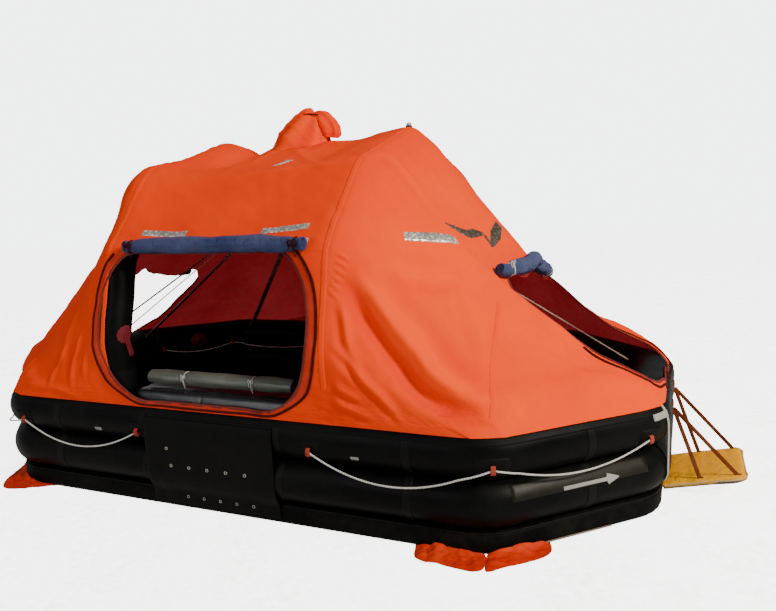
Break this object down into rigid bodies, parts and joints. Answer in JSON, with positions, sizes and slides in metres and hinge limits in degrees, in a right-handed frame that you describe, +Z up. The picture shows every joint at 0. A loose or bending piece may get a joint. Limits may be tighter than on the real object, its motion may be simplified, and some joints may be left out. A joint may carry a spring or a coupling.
{
  "type": "inflatable life raft",
  "caption": "Canopied inflatable life raft with stacked black tubes, an orange tent with rolled-up doors, a lifting bridle, lifelines and a yellow boarding ramp.",
  "frame": {"origin": "middle of the floor's underside, on the ground", "axes": "+X along the raft to the end with the boarding ramp, +Y away from the side door, +Z up"},
  "size_m": [5.482, 3.15, 2.5628],
  "materials": {
    "tube_rubber": "matte",
    "floor_rubber": "matte",
    "canopy_fabric": "coated cloth, satin",
    "curtain_fabric": "coated cloth, matte",
    "webbing": "woven, matte",
    "strap_webbing": "woven, matte",
    "rope": "braided, matte",
    "ramp_fabric": "coated cloth, satin",
    "bundle_fabric": "matte",
    "sill_fabric": "coated cloth, satin",
    "pocket_fabric": "coated cloth, matte",
    "steel": "brushed",
    "lamp_plastic": "matte"
  },
  "bodies": {
    "root": {"arch_left": "tube_rubber", "arch_right": "tube_rubber", "boarding_ramp": "ramp_fabric", "bridle_head": "webbing", "bridle_strap_end_left_far": "webbing", "bridle_strap_end_left_near": "webbing", "bridle_strap_end_right_far": "webbing", "bridle_strap_end_right_near": "webbing", "bridle_strap_far_left": "webbing", "bridle_strap_far_right": "webbing", "bridle_strap_near_left": "webbing", "bridle_strap_near_right": "webbing", "canopy_far": "canopy_fabric", "canopy_lamp": "lamp_plastic", "canopy_left_far": "canopy_fabric", "canopy_left_near": "canopy_fabric", "canopy_left_slope": "canopy_fabric", "canopy_near": "canopy_fabric", "canopy_right_far": "canopy_fabric", "canopy_right_near": "canopy_fabric", "canopy_right_slope": "canopy_fabric", "canopy_roof": "canopy_fabric", "door_roll_left": "curtain_fabric", "door_roll_near": "curtain_fabric", "door_roll_right": "curtain_fabric", "door_sill": "sill_fabric", "floor": "floor_rubber", "hoist_sleeve": "canopy_fabric", "inner_lifeline_far": "rope", "inner_lifeline_near": "rope", "lifeline_far_left": "rope", "lifeline_far_right": "rope", "lifeline_near_left": "rope", "lifeline_near_right": "rope", "lifting_ring": "steel", "lower_tube": "tube_rubber", "ramp_straps_far": "strap_webbing", "ramp_straps_near": "strap_webbing", "stowed_bundle": "bundle_fabric", "upper_tube": "tube_rubber", "water_pocket_far_left": "pocket_fabric", "water_pocket_far_right": "pocket_fabric", "water_pocket_near_left": "pocket_fabric", "water_pocket_near_mid": "pocket_fabric", "water_pocket_near_right": "pocket_fabric"}
  },
  "joints": []
}
